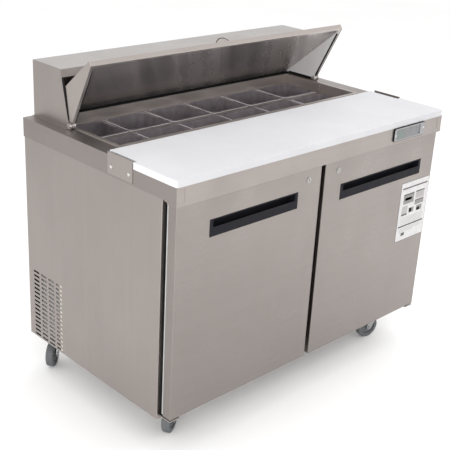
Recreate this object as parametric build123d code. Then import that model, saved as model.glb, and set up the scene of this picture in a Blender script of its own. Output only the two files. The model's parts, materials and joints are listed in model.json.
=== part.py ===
from build123d import *
from math import cos, hypot, radians, sin, tan
import os

# Two-door sandwich prep table, millimetres. Origin on the floor under the middle of the cabinet,
# +X to the right, +Y to the back, +Z up. It is stored with the lid open and the doors closed.

# ---- driving dimensions ----
W, D = 1225.0, 743.0              # worktop width and depth
TOP_Z = 902.0                     # worktop surface
DECK_Z = 889.3                    # lowered front deck that carries the cutting board
APRON_Z = 840.2                   # bottom of the worktop's aprons
BOARD_T = 20.0                    # cutting board thickness
SHEET = 1.2                       # steel sheet of the shells
TOP_SHEET = 1.5                   # steel sheet of the worktop
CAB_BOTTOM = 131.0                # underside of the cabinet
SIDE_X = 610.9                    # outer face of the side panels
FRONT_Y = -310.6                  # front edge of the side panels
BACK_Y = 367.0                    # back edge of the side panels
DOOR_Y = -363.0                   # front face of the doors
DOOR_X0, DOOR_X1 = 9.9, 604.4     # inner and outer edge of a door
DOOR_Z0, DOOR_Z1 = 150.0, 829.1   # bottom and top edge of a door
HINGE_X, HINGE_Y = 592.0, -350.0  # door pivot axis
OPEN_X = 540.0                    # half width of the pan opening
OPEN_Y0, OPEN_Y1 = -32.0, 306.0   # front and back wall of the pan opening
LEDGE_Z = 866.0                   # ledge that the pan rims rest on
PAN_W, PAN_D, PAN_H = 175.0, 159.0, 100.0
COLUMNS, COLUMN_PITCH = 6, 180.0
BAR_Y = 137.0                     # middle bar between the two rows of pans
HOOD_X = 569.8                    # outer face of the hood's sides
HOOD_TOP = 1081.0
HOOD_FOOT_Y, HOOD_BROW_Y, HOOD_BACK_Y = 179.5, 222.3, 373.0
PIVOT_Y, PIVOT_Z = 178.0, 913.5   # lid pivot axis
LID_X = 566.0                     # outer face of the lid's sides
LID_OPEN = 63.6                   # angle from closed to open, degrees
WHEEL_R, WHEEL_W, TRAIL = 44.5, 27.0, 38.0
CASTER_X, CASTER_Y0, CASTER_Y1 = 527.0, -256.0, 346.0
HEADINGS = {"front_left": 30, "front_right": 168, "rear_left": 219, "rear_right": 200}
RUN = 0.05                        # radial running clearance of pins and shafts
FOLD_R = 2.2                      # outer radius of the sheets' folds
DOOR_FOLD_R = 2.6                 # and of the door skins' folds

TOP_INNER = W / 2 - TOP_SHEET
SIDE_INNER = SIDE_X - SHEET
INNER_X, INNER_Y0, INNER_Y1 = 560.0, -298.0, 328.0
INNER_Z0, INNER_Z1 = 190.0, 800.0
STEP_Y, STEP_Z = 150.0, 425.0     # the inner box steps back above the machine compartment
MACHINE_Y, MACHINE_Z = 190.0, 385.0
SHELF_Z = 400.0
FLOOR_Z, FLOOR_T = CAB_BOTTOM + SHEET + 0.1, 2.0   # underside and thickness of the base pan
RACE_Z, KING_Z = 123.0, 104.0     # underside of a caster's race and of its king pin
SIDES = (("left", -1), ("right", 1))

os.makedirs("parts", exist_ok=True)


# ---- helpers ----
def block(x0, x1, y0, y1, z0, z1):
    """A box between two corners, given as ranges."""
    x0, x1 = sorted((x0, x1))
    centre = Location(((x0 + x1) / 2, (y0 + y1) / 2, (z0 + z1) / 2))
    return centre * Box(x1 - x0, y1 - y0, z1 - z0)


def rod(axis, centre, radius, length):
    """A round bar along X, Y or Z, centred on a point."""
    turn = {"x": (0, 90, 0), "y": (90, 0, 0), "z": (0, 0, 0)}[axis]
    return Location(centre, turn) * Cylinder(radius, length)


def slab_yz(points, x0, x1):
    """A prism of a Y-Z outline between two X values."""
    x0, x1 = sorted((x0, x1))
    outline = [Vector(x0, y, z) for y, z in points]
    face = make_face(Polyline(*outline, close=True))
    return extrude(face, amount=x1 - x0, dir=(1, 0, 0))


def soften(shape, radius, *tests):
    """Round the straight edges whose middle passes one of the tests."""
    chosen = [e for e in shape.edges() if any(test(e, e @ 0.5) for test in tests)]
    return fillet(chosen, radius)


def near(value, target):
    return abs(value - target) < 0.01


def group(solids):
    """Separate pieces that share one node."""
    return Compound(children=[s if isinstance(s, Solid) else s.solid() for s in solids])


def mirrored(shape):
    return mirror(shape, about=Plane.YZ)


def both_sides(solids):
    return list(solids) + [mirrored(s) for s in solids]


def save(shape, node):
    export_step(shape, f"parts/{node}.step")


# ---- worktop ----
DECK_BACK = -58.0                 # where the deck steps up to the worktop surface
APRON_STEP = -80.0                # where the side aprons step down
SEAM_X = 585.0                    # seams where the corner pieces join the front rail
BRACKET_Y0, BRACKET_Y1 = -184.5, -71.0


def worktop():
    body = block(-W / 2, W / 2, -D / 2, D / 2, APRON_Z, TOP_Z)
    body -= block(-W / 2, W / 2, -D / 2, APRON_STEP, DECK_Z, TOP_Z)
    body -= block(-TOP_INNER, TOP_INNER, APRON_STEP, DECK_BACK, DECK_Z, TOP_Z)
    body = soften(
        body,
        FOLD_R,
        lambda e, m: near(m.Z, TOP_Z) and (near(abs(m.X), W / 2) or near(m.Y, D / 2)),
        lambda e, m: near(abs(m.X), W / 2) and near(abs(m.Y), D / 2),
    )
    inner = D / 2 - TOP_SHEET
    body -= block(-TOP_INNER, TOP_INNER, -inner, inner, APRON_Z, DECK_Z - TOP_SHEET)
    body -= block(-TOP_INNER, TOP_INNER, DECK_BACK + TOP_SHEET, inner, APRON_Z, TOP_Z - TOP_SHEET)
    cut = SHEET + 0.1
    body -= block(-OPEN_X - cut, OPEN_X + cut, OPEN_Y0 - cut, OPEN_Y1 + cut, APRON_Z, TOP_Z + 1)
    for x in (-SEAM_X, SEAM_X):
        body -= block(x - 0.6, x + 0.6, -D / 2 - 1, -D / 2 + 0.5, APRON_Z + 6, DECK_Z - 6)
    return body


def opening_frame():
    """Folded trim of the opening: a raised lip, four walls and the ledge under the pan rims."""
    lip, lip_h, ledge = 12.0, 2.5, 8.0
    x, y0, y1 = OPEN_X, OPEN_Y0, OPEN_Y1
    frame = block(-x - lip, x + lip, y0 - lip, y1 + lip, TOP_Z, TOP_Z + lip_h)
    frame += block(-x - SHEET, x + SHEET, y0 - SHEET, y1 + SHEET, LEDGE_Z - SHEET, TOP_Z)
    frame -= block(-x, x, y0, y1, LEDGE_Z, TOP_Z + lip_h)
    frame -= block(-x + ledge, x - ledge, y0 + ledge, y1 - ledge, LEDGE_Z - SHEET, LEDGE_Z)
    return frame


def column_x(i):
    return (i - (COLUMNS - 1) / 2) * COLUMN_PITCH


def divider_bars():
    """The long bar between the rows, and the short bars between the columns."""
    half, deep, gap = 13.5, 8.0, 0.2
    ledge = 8.0
    bars = [block(-OPEN_X + gap, OPEN_X - gap, BAR_Y - half, BAR_Y + half, LEDGE_Z - deep - SHEET, LEDGE_Z)]
    end = ledge + gap
    notch = block(-OPEN_X, -OPEN_X + end, BAR_Y - half, BAR_Y + half, LEDGE_Z - SHEET - gap, LEDGE_Z)
    bars[0] = bars[0] - notch - mirrored(notch)
    bars[0] += block(-OPEN_X + end, OPEN_X - end, BAR_Y - 6.5, BAR_Y + 6.5, LEDGE_Z, LEDGE_Z + 3)
    for i in range(COLUMNS - 1):
        x = column_x(i) + COLUMN_PITCH / 2
        for y0, y1 in ((OPEN_Y0 + end, BAR_Y - half - gap), (BAR_Y + half + gap, OPEN_Y1 - end)):
            bars.append(block(x - 6.5, x + 6.5, y0, y1, LEDGE_Z - deep, LEDGE_Z))
    return group(bars)


def pan(x, y):
    """Square-cornered food pan with a flat rim, drawn in towards its bottom."""
    rim_t, wall, draft = 3.0, 2.5, 5.0
    depth = PAN_H - rim_t
    top = LEDGE_Z + rim_t
    bottom = top - PAN_H
    shrink = 2 * depth * tan(radians(draft))
    body_w, body_d = PAN_W - 17, PAN_D - 17
    foot = Location((x, y, bottom)) * RectangleRounded(body_w - shrink, body_d - shrink, 16)
    shell = extrude(foot, amount=depth, taper=-draft)
    rim = Location((x, y, LEDGE_Z)) * RectangleRounded(PAN_W, PAN_D, 13)
    shell += extrude(rim, amount=rim_t)
    shell = fillet(shell.faces().sort_by(Axis.Z)[-1].edges(), 1.2)
    shrink = 2 * (PAN_H - wall) * tan(radians(draft))
    mouth_w, mouth_d = PAN_W - 20, PAN_D - 20
    well = Location((x, y, bottom + wall)) * RectangleRounded(mouth_w - shrink, mouth_d - shrink, 13)
    return shell - extrude(well, amount=PAN_H - wall, taper=-draft)


def cutting_board():
    front = block(-W / 2, W / 2, -D / 2, BRACKET_Y0 - 1.5, DECK_Z, DECK_Z + BOARD_T)
    tail = block(-598, 598, BRACKET_Y0 - 1.5, DECK_BACK - 2, DECK_Z, DECK_Z + BOARD_T)
    board = front + tail
    corners = board.edges().filter_by(Axis.Z).sort_by(Axis.Y)[:2]
    board = fillet(corners, 8)
    return fillet(board.faces().sort_by(Axis.Z)[-1].edges(), 1.5)


def bracket_plates():
    """Side plates on the aprons that keep the board in its place."""
    plate = block(W / 2, W / 2 + 1.5, BRACKET_Y0, BRACKET_Y1, 846, 912)
    return group(both_sides([plate]))


def screws():
    """Domed screws: two through each side plate, two at each end of the middle bar."""
    out = []
    for y, z in ((-88.0, 869.0), (-169.0, 869.0)):
        out.append(rod("x", (W / 2 + 2.25, y, z), 5.0, 1.5))
    for z in (878.5, 890.0):
        out.append(rod("x", (OPEN_X - 1.0, BAR_Y, z), 3.5, 2.0))
    return group(both_sides(out))


# ---- hood ----
def hood_edge(z, back=0.0):
    """Y of the hood's slanted front edge at height z."""
    slope = (HOOD_BROW_Y - HOOD_FOOT_Y) / (HOOD_TOP - TOP_Z)
    return HOOD_FOOT_Y + (z - TOP_Z) * slope + back


def hood_shell():
    edge = [(HOOD_FOOT_Y, TOP_Z), (HOOD_BROW_Y, HOOD_TOP), (HOOD_BACK_Y, HOOD_TOP), (HOOD_BACK_Y, TOP_Z)]
    hood = slab_yz(edge, -HOOD_X, HOOD_X)
    hood = soften(
        hood,
        FOLD_R,
        lambda e, m: near(m.Z, HOOD_TOP),
        lambda e, m: near(abs(m.X), HOOD_X) and near(m.Y, HOOD_BACK_Y),
    )
    room = HOOD_X - SHEET
    brow, back = HOOD_BROW_Y + SHEET, HOOD_BACK_Y - SHEET
    hood -= block(-room, room, brow, back, TOP_Z, HOOD_TOP - SHEET)
    hood -= block(-room, room, HOOD_FOOT_Y - 5, brow, TOP_Z, HOOD_TOP - 25)
    foot = block(HOOD_X, HOOD_X + 8, HOOD_FOOT_Y + 6, D / 2, TOP_Z, TOP_Z + SHEET)
    hood += foot + mirrored(foot)
    for side in (-1, 1):
        hood += rod("x", (side * (HOOD_X - SHEET / 2), PIVOT_Y, PIVOT_Z), 11.4, SHEET)
        hood -= rod("x", (side * HOOD_X, PIVOT_Y, PIVOT_Z), 5.0, 8)
    return hood


def hood_seals():
    """Rubber strips inside the hood's front edges, wider towards the top."""
    z0, z1 = PIVOT_Z + 18, HOOD_TOP - 26
    outline = [
        (hood_edge(z0, -1.0), z0),
        (hood_edge(z1, -9.0), z1),
        (hood_edge(z1, 6.0), z1),
        (hood_edge(z0, 6.0), z0),
    ]
    strip = slab_yz(outline, LID_X + 0.4, HOOD_X - SHEET)
    return group(both_sides([strip]))


def pivot_bolts():
    shank = rod("x", ((552.5 + HOOD_X + 1.5) / 2, PIVOT_Y, PIVOT_Z), 5.0, HOOD_X + 1.5 - 552.5)
    head = rod("x", (552.5, PIVOT_Y, PIVOT_Z), 8.0, 3.0)
    washer = rod("x", ((LID_X + 0.3 + HOOD_X - SHEET) / 2, PIVOT_Y, PIVOT_Z), 8.5, HOOD_X - SHEET - LID_X - 0.3)
    nut = rod("x", (HOOD_X + 2.0, PIVOT_Y, PIVOT_Z), 7.5, 4.0)
    return group(both_sides([shank + head + washer + nut]))


# ---- lid, drawn closed in (forward, up) from its pivot, then turned open ----
FOOT_DROP = 4.0                                 # the foot edges pass this far below the pivot
GASKET_DROP = 8.5                               # and the back gasket's underside this far
LID_S, LID_R = (231.8, -FOOT_DROP), (239.7, 11.4)   # foot and brow of the front face
LID_T = (-51.0, 140.5)                          # top of the back edge
BACK_REACH = 144.0                              # from the pivot to the foot of the back edge
LID_A = (
    -BACK_REACH * cos(radians(LID_OPEN)) - FOOT_DROP * sin(radians(LID_OPEN)),
    BACK_REACH * sin(radians(LID_OPEN)) - FOOT_DROP * cos(radians(LID_OPEN)),
)
LID_B = (227.0, -FOOT_DROP)                     # front foot of the inner skin
LID_FOOT = (-FOOT_DROP / tan(radians(90 - LID_OPEN / 2)), -FOOT_DROP)
LID_WALL = 11.0                                 # thickness of the lid's side walls
EAR_R, PIN_R = 9.3, 5.0
TAB_X, TAB_HALF, TAB_RISE, TAB_ROOT = -34.0, 27.0, 12.0, 3.0   # half-round lift tab on the brow


def lid_point(u, v):
    """World Y and Z of a closed-lid point on the open lid."""
    a = radians(LID_OPEN)
    return PIVOT_Y - u * cos(a) + v * sin(a), PIVOT_Z + u * sin(a) + v * cos(a)


def lid_slab(points, x0, x1):
    """A prism of a closed-lid outline, turned open."""
    return slab_yz([lid_point(u, v) for u, v in points], x0, x1)


def shift_edges(points, gaps):
    """A counter-clockwise outline with edge i moved inwards by gaps[i]."""
    lines = []
    for i, (px, py) in enumerate(points):
        qx, qy = points[(i + 1) % len(points)]
        size = hypot(qx - px, qy - py)
        dx, dy = (qx - px) / size, (qy - py) / size
        lines.append((px - dy * gaps[i], py + dx * gaps[i], dx, dy))
    out = []
    for i in range(len(points)):
        ax, ay, adx, ady = lines[i - 1]
        bx, by, bdx, bdy = lines[i]
        t = ((bx - ax) * bdy - (by - ay) * bdx) / (adx * bdy - ady * bdx)
        out.append((ax + t * adx, ay + t * ady))
    return out


def on_lid_edge(middle, start, end):
    """Whether a point lies on a line of the open lid's outline."""
    (y0, z0), (y1, z1) = lid_point(*start), lid_point(*end)
    spare = hypot(middle.Y - y0, middle.Z - z0) + hypot(middle.Y - y1, middle.Z - z1)
    return near(spare, hypot(y1 - y0, z1 - z0))


def lift_tab():
    """Half-round tab that carries the front face on past the brow."""
    (foot_y, foot_z), (brow_y, brow_z) = lid_point(*LID_S), lid_point(*LID_R)
    outward = Vector(0, foot_z - brow_z, brow_y - foot_y).normalized()
    face = Plane(origin=(TAB_X, brow_y, brow_z), x_dir=(1, 0, 0), z_dir=outward)
    radius = (TAB_HALF**2 + TAB_RISE**2) / (2 * TAB_RISE)
    room = Pos(0, (TAB_RISE - TAB_ROOT) / 2) * Rectangle(3 * TAB_HALF, TAB_RISE + TAB_ROOT)
    outline = (Pos(0, TAB_RISE - radius) * Circle(radius)) & room
    return extrude(face * outline, amount=-SHEET)


def lid_shell():
    """Outer skin: front return, front face, top, back edge and sides, with rounded folds."""
    outline = [LID_B, LID_S, LID_R, LID_T, LID_A]
    skin_lines = [(LID_S, LID_R), (LID_R, LID_T), (LID_T, LID_A)]
    room = LID_X - SHEET
    shell = lid_slab([LID_FOOT] + outline[1:], -LID_X, LID_X)
    shell = soften(
        shell,
        FOLD_R,
        lambda e, m: near(e.length, 2 * LID_X) and m.Z > PIVOT_Z and not on_lid_edge(m, LID_A, LID_A),
        lambda e, m: near(abs(m.X), LID_X) and any(on_lid_edge(m, *line) for line in skin_lines),
    )
    shell -= lid_slab(shift_edges(outline, [SHEET] * 4 + [-SHEET]), -room, room)
    shell -= lid_slab(shift_edges([LID_FOOT, LID_B, LID_A], [-1, -1, -1]), -room, room)
    for side in (-1, 1):
        middle = side * (LID_X - SHEET / 2)
        shell += rod("x", (middle, PIVOT_Y, PIVOT_Z), EAR_R, SHEET)
        shell -= rod("x", (middle, PIVOT_Y, PIVOT_Z), PIN_R + RUN, 8)
    return shell + lift_tab()


def lid_liner():
    """Inner pan of folded sheet: a sloping skin, and a wall inside each side of the shell."""
    outline = [LID_B, LID_S, LID_R, LID_T, LID_A]
    foot = [LID_FOOT] + outline[1:]
    room = LID_X - SHEET
    skin = lid_slab(shift_edges(outline, [SHEET] * 4 + [0]), -room, room)
    liner = skin - lid_slab(shift_edges(outline, [SHEET] * 4 + [SHEET]), -room - 1, room + 1)
    wall = shift_edges(foot, [SHEET] * 5)
    hollow = shift_edges(foot, [2 * SHEET] + [SHEET] * 3 + [2 * SHEET])
    for side in (-1, 1):
        x0, x1 = side * (LID_X - LID_WALL), side * room
        liner += lid_slab(wall, x0, x1)
        liner -= lid_slab(hollow, x0 + side * SHEET, x1 + side)
        liner += rod("x", ((x0 + x1) / 2, PIVOT_Y, PIVOT_Z), EAR_R, abs(x1 - x0))
        liner -= rod("x", (side * LID_X, PIVOT_Y, PIVOT_Z), PIN_R + RUN, 30)
    return liner


def lid_gaskets():
    """Flat rubber strips inside the side walls, along their edges, and one along the back edge."""
    x0, x1 = LID_X - LID_WALL - 1.25, LID_X - LID_WALL - 0.05
    low, high = -FOOT_DROP - 1.0, 1.5
    side_front = lid_slab([(12, low), (210, low), (207, high), (12, high)], x0, x1)
    side_back = block(x0, x1, PIVOT_Y + 12, PIVOT_Y + 129, PIVOT_Z + low, PIVOT_Z + high)
    reach = LID_X - LID_WALL - 1
    bottom, top = PIVOT_Z - GASKET_DROP, PIVOT_Z - FOOT_DROP - 0.05
    back = block(-reach, reach, PIVOT_Y + 130, PIVOT_Y + 142, bottom, top)
    return group(both_sides([side_front, side_back]) + [back])


# ---- cabinet ----
def side_panel(side):
    """Outer sheet with a folded front edge and a folded foot."""
    top = DECK_Z - TOP_SHEET - 2
    sheet = block(SIDE_INNER, SIDE_X, FRONT_Y, BACK_Y, CAB_BOTTOM, top)
    sheet += block(SIDE_X - 14, SIDE_INNER, FRONT_Y, FRONT_Y + SHEET, CAB_BOTTOM, APRON_Z)
    sheet += block(SIDE_X - 16, SIDE_INNER, FRONT_Y, BACK_Y, CAB_BOTTOM, CAB_BOTTOM + SHEET)
    sheet = soften(
        sheet,
        FOLD_R,
        lambda e, m: near(m.X, SIDE_X) and near(m.Y, FRONT_Y) and m.Z < APRON_Z,
        lambda e, m: near(m.X, SIDE_X) and near(m.Z, CAB_BOTTOM),
    )
    if side > 0:
        return sheet
    return mirrored(sheet) - vent_slots()


def vent_slots():
    """Air slots low at the back of the left panel, beside the condenser."""
    length, height, rows, columns = 33.0, 7.0, 16, 4
    cutters = []
    slot = extrude(SlotOverall(length, height), amount=6, both=True)
    for i in range(columns):
        for k in range(rows):
            spot = Location((-SIDE_X, 322 - 43 * i, 142 + 15.75 * k), (90, 90, 0))
            cutters.append(spot * slot)
    return cutters


GLAND_X, GLAND_Z = 548.0, 250.0   # where the supply cord would leave the back panel


def back_panel():
    """Rear sheet with a louvred area across the machine compartment."""
    sheet = block(-SIDE_INNER + 0.1, SIDE_INNER - 0.1, BACK_Y - SHEET, BACK_Y, CAB_BOTTOM + 3, APRON_Z + 40)
    slot = extrude(SlotOverall(150, 9), amount=6, both=True)
    cutters = []
    for i in range(5):
        for k in range(8):
            cutters.append(Location((-400 + 200 * i, BACK_Y, 170 + 24 * k), (90, 0, 0)) * slot)
    gland = rod("y", (GLAND_X, BACK_Y, GLAND_Z), 9.1, 10)
    return sheet - cutters - gland


def cord_gland():
    collar = rod("y", (GLAND_X, BACK_Y - 4, GLAND_Z), 9.0, 16)
    collar += rod("y", (GLAND_X, BACK_Y + 2, GLAND_Z), 13.0, 4)
    return collar - rod("y", (GLAND_X, BACK_Y, GLAND_Z), 4.5, 40)


def base_pan():
    """Floor sheet with turned-up front and back edges."""
    x = SIDE_INNER - 0.1
    front, back = FRONT_Y + SHEET + 0.1, BACK_Y - SHEET - 0.1
    tray = block(-x, x, front, back, FLOOR_Z, FLOOR_Z + FLOOR_T)
    tray += block(-x, x, front, front + FLOOR_T, FLOOR_Z, DOOR_Z0 - 0.2)
    tray += block(-x, x, back - FLOOR_T, back, FLOOR_Z, 160)
    for hole_x, hole_y in caster_spots().values():
        tray -= cylinder_z(hole_x, hole_y, PIN_R, FLOOR_Z - 1, FLOOR_Z + FLOOR_T + 1)
    return tray


def inner_profile(grow):
    """Inner box seen from the side, grown outwards; open at the front and at the pan well."""
    g = grow
    return [
        (INNER_Y0, INNER_Z0 - g),
        (STEP_Y + g, INNER_Z0 - g),
        (STEP_Y + g, STEP_Z - g),
        (INNER_Y1 + g, STEP_Z - g),
        (INNER_Y1 + g, LEDGE_Z - 2),
        (OPEN_Y0 - 4 - g, LEDGE_Z - 2),
        (OPEN_Y0 - 4 - g, INNER_Z1 + g),
        (INNER_Y0, INNER_Z1 + g),
    ]


def inner_liner():
    hollow = slab_yz(inner_profile(0), -INNER_X, INNER_X)
    hollow += block(-INNER_X, INNER_X, INNER_Y0 - 1, INNER_Y0, INNER_Z0, INNER_Z1)
    hollow += block(-INNER_X, INNER_X, OPEN_Y0 - 4, INNER_Y1, LEDGE_Z - 3, LEDGE_Z)
    return slab_yz(inner_profile(SHEET), -INNER_X - SHEET, INNER_X + SHEET) - hollow


def insulation():
    """Foam between the inner box and the outer panels, with the machine compartment left out."""
    gap = 0.15
    x = SIDE_INNER - gap
    front, back = INNER_Y0 + gap, BACK_Y - SHEET - 2 - 2 * gap
    foam = block(-x, x, front, back, CAB_BOTTOM + SHEET + 2.3, APRON_Z - 2)
    grow = SHEET + gap
    foam -= slab_yz(inner_profile(grow), -INNER_X - grow, INNER_X + grow)
    foam -= block(-INNER_X - grow, INNER_X + grow, INNER_Y0 - 1, STEP_Y, INNER_Z0 - grow, INNER_Z1)
    return foam - block(-W, W, MACHINE_Y, BACK_Y, 0, MACHINE_Z)


FRAME_Y0, FRAME_Y1 = FRONT_Y + SHEET + 0.1, INNER_Y0 - 0.1
MULLION = 38.0


def face_frame():
    """Front frame that the door gaskets close on: jambs, header, sill and the middle post."""
    frame = block(-SIDE_INNER + 0.1, SIDE_INNER - 0.1, FRAME_Y0, FRAME_Y1, DOOR_Z0, APRON_Z - 0.5)
    for side in (-1, 1):
        frame -= block(side * MULLION, side * (INNER_X + 2), FRAME_Y0 - 1, FRAME_Y1 + 1, 186, 797)
    return frame


def shelves():
    """Two wire shelves, one behind each door."""
    wire, front, back = 3.0, -284.0, 138.0
    inner, outer = 22.0, 546.0
    z = SHELF_Z + 2 * wire
    middle_y, middle_x = (front + back) / 2, (inner + outer) / 2
    shelf = rod("x", (middle_x, front, z - wire), wire, outer - inner)
    for y in (middle_y, back):
        shelf += rod("x", (middle_x, y, z - wire), wire, outer - inner)
    count = 15
    for i in range(count):
        x = inner + wire + i * (outer - inner - 2 * wire) / (count - 1)
        shelf += rod("y", (x, middle_y, z + wire * 0.5), wire * 0.8, back - front + 2 * wire)
    return group(both_sides([shelf]))


def shelf_clips():
    """Small brackets on the walls, the middle post and the back wall; the shelves lie on them."""
    clips = []
    top = SHELF_Z
    side = block(INNER_X - 22, INNER_X, -286, -256, top - 4, top)
    side += block(INNER_X - 1.5, INNER_X, -286, -256, top - 24, top)
    clips.append(side)
    clips.append(Location((0, 395, 0)) * side)
    back = block(20, 44, STEP_Y - 16, STEP_Y, top - 4, top)
    back += block(20, 44, STEP_Y - 1.5, STEP_Y, top - 24, top)
    clips.append(back)
    post = block(20, MULLION - 2, INNER_Y0, INNER_Y0 + 18, top - 4, top)
    post += block(20, MULLION - 2, INNER_Y0, INNER_Y0 + 1.5, top - 24, top)
    clips.append(post)
    return group(both_sides(clips))


def badge():
    """Blank name plate on the rail: a rounded base with a raised field."""
    base = RectangleRounded(172, 46, 8)
    spot = Location((420, -D / 2, (DECK_Z + APRON_Z) / 2), (90, 0, 0))
    plate = spot * extrude(base, amount=0.8)
    spot = Location((421, -D / 2 - 0.8, (DECK_Z + APRON_Z) / 2), (90, 0, 0))
    return plate + spot * extrude(RectangleRounded(160, 38, 6), amount=0.7)


# ---- refrigeration ----
FAN_Y, FAN_Z = 277.0, 262.0


def fan(axis, centre, radius, depth, blades):
    """Hub with a bore and raked blades; the spindle runs along X or Y."""
    hub = Cylinder(22, depth) - Cylinder(4 + RUN, depth + 2)
    reach = radius - 20
    blade = Location((20 + reach / 2, 0, 0), (28, 0, 0)) * Box(reach, 46, 2.2)
    wheel = hub
    for i in range(blades):
        wheel += Rotation(0, 0, i * 360 / blades) * blade
    turn = {"x": (0, 90, 0), "y": (90, 0, 0)}[axis]
    return Location(centre, turn) * wheel


def condenser_coil():
    """Finned block behind the side vents, with a fan ring and the fan's spindle."""
    coil = block(-592, -556, 198, 356, 146, 378)
    for i in range(11):
        z = 156 + 20 * i
        coil += rod("y", (-574, FAN_Y, z), 4.0, 166)
    ring = rod("x", (-530, FAN_Y, FAN_Z), 84, 40) - rod("x", (-530, FAN_Y, FAN_Z), 78, 50)
    ring -= block(-555, -500, FAN_Y - 90, FAN_Y + 90, 0, CAB_BOTTOM + 5)
    legs = block(-556, -550, 198, 356, 146, 378) - rod("x", (-553, FAN_Y, FAN_Z), 78, 8)
    spindle = rod("x", (-532, FAN_Y, FAN_Z), 4.0, 52)
    bridge = block(-511, -506, FAN_Y - 12, FAN_Y + 12, FAN_Z - 82, FAN_Z + 82)
    foot = block(-592, -510, 200, 354, CAB_BOTTOM + SHEET + 2.1, 146)
    return coil + ring + legs + spindle + bridge + foot


def condenser_fan():
    return fan("x", (-530, FAN_Y, FAN_Z), 74, 26, 5)


def compressor():
    """Welded dome on a foot plate, with its electrical box and two pipe stubs."""
    x, y, z = -330.0, 278.0, CAB_BOTTOM + SHEET + 2.1
    body = Location((x, y, z + 91)) * Cylinder(72, 130)
    body = fillet(body.edges().filter_by(GeomType.CIRCLE), 30)
    body += block(x - 90, x + 90, y - 76, y + 76, z + 22, z + 26)
    for dx in (-76, 76):
        for dy in (-60, 60):
            body += Location((x + dx, y + dy, z + 12)) * Cylinder(11, 24)
    body += block(x + 60, x + 92, y - 30, y + 30, z + 60, z + 130)
    body += rod("z", (x - 20, y, z + 180), 5, 60)
    body += rod("z", (x + 20, y, z + 180), 4, 60)
    return body


def evaporator_coil():
    """Finned block high at the back of the inner box, with its fan housing and spindle."""
    coil = block(-250, 250, 248, 318, STEP_Z + 20, STEP_Z + 150)
    for i in range(6):
        coil += rod("x", (0, 283, STEP_Z + 35 + 20 * i), 4.0, 530)
    legs = block(-262, -250, 240, INNER_Y1, STEP_Z, STEP_Z + 160)
    house = block(-262, 262, 196, 248, STEP_Z + 2, STEP_Z + 160)
    house -= block(-258, 258, 200, 260, STEP_Z + 6, STEP_Z + 156)
    for x in (-120, 120):
        house -= rod("y", (x, 200, STEP_Z + 82), 66, 30)
    x = 120
    bridge = block(x - 8, x + 8, 238, 242, STEP_Z + 4, STEP_Z + 158)
    spindle = rod("y", (x, 222, STEP_Z + 82), 4.0, 36)
    grille = block(-120 - 68, -120 + 68, 196, 198, STEP_Z + 78, STEP_Z + 86)
    return coil + legs + mirrored(legs) + house + bridge + spindle + grille


def evaporator_fan():
    return fan("y", (120, 219, STEP_Z + 82), 60, 22, 5)


# ---- doors ----
DOOR_DEPTH = 33.0                 # depth of the door's outer skin
CORE_BACK = DOOR_Y + 41.0         # back face of the foam-filled door body
HANDLE = {"left": (-296.0, 366.0), "right": (310.5, 437.0)}   # middle and length of each pull
HANDLE_H, HANDLE_Z = 54.0, {"left": 737.0, "right": 718.0}
LOCK = {"left": (-68.0, 793.0), "right": (73.0, 795.0)}
HANDLE_DEEP = 26.0


def door_skin(name, side):
    """Folded outer sheet with cut-outs for the pull and the lock, and a hole over each pin."""
    x0, x1 = side * DOOR_X0, side * DOOR_X1
    skin = block(x0, x1, DOOR_Y, DOOR_Y + DOOR_DEPTH, DOOR_Z0, DOOR_Z1)
    skin = soften(skin, DOOR_FOLD_R, lambda e, m: m.Y < DOOR_Y + DOOR_DEPTH - 0.1)
    i0, i1 = side * (DOOR_X0 + SHEET), side * (DOOR_X1 - SHEET)
    skin -= block(i0, i1, DOOR_Y + SHEET, DOOR_Y + 60, DOOR_Z0 + SHEET, DOOR_Z1 - SHEET)
    middle, length = HANDLE[name]
    z = HANDLE_Z[name]
    half = length / 2 - 3
    skin -= block(middle - half, middle + half, DOOR_Y - 1, DOOR_Y + 5, z - 24, z + 24)
    lock_x, lock_z = LOCK[name]
    skin -= rod("y", (lock_x, DOOR_Y, lock_z), 8.0 + RUN, 8)
    for z in (DOOR_Z0, DOOR_Z1):
        skin -= rod("z", (side * HINGE_X, HINGE_Y, z), PIN_R + RUN, 8)
    return skin


def door_core(name, side):
    """Foam-filled inner body of the door, with pockets for the pull, the lock and the pins."""
    gap = SHEET + 0.1
    x0, x1 = side * (DOOR_X0 + gap), side * (DOOR_X1 - gap)
    core = block(x0, x1, DOOR_Y + gap, DOOR_Y + DOOR_DEPTH, DOOR_Z0 + gap, DOOR_Z1 - gap)
    e0, e1 = side * (DOOR_X0 + 3), side * (DOOR_X1 - 3)
    core += block(e0, e1, DOOR_Y + DOOR_DEPTH, CORE_BACK, DOOR_Z0 + 3, DOOR_Z1 - 3)
    middle, length = HANDLE[name]
    z = HANDLE_Z[name]
    half = length / 2 - 2.9
    core -= block(middle - half, middle + half, DOOR_Y, DOOR_Y + HANDLE_DEEP + 2.1, z - 24.1, z + 24.1)
    lock_x, lock_z = LOCK[name]
    core -= rod("y", (lock_x, DOOR_Y, lock_z), 8.0 + RUN, 62)
    for z in (DOOR_Z0, DOOR_Z1):
        core -= rod("z", (side * HINGE_X, HINGE_Y, z), PIN_R + RUN, 62)
    return core


def door_gasket(side):
    """Magnetic gasket ring on the back of the door."""
    x0, x1 = side * (DOOR_X0 + 8), side * (HINGE_X - 3)
    z0, z1, wide = DOOR_Z0 + 14, DOOR_Z1 - 14, 16
    ring = block(x0, x1, CORE_BACK, FRONT_Y - 0.9, z0, z1)
    hole0, hole1 = x0 + side * wide, x1 - side * wide
    return ring - block(hole0, hole1, CORE_BACK - 1, FRONT_Y, z0 + wide, z1 - wide)


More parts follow.
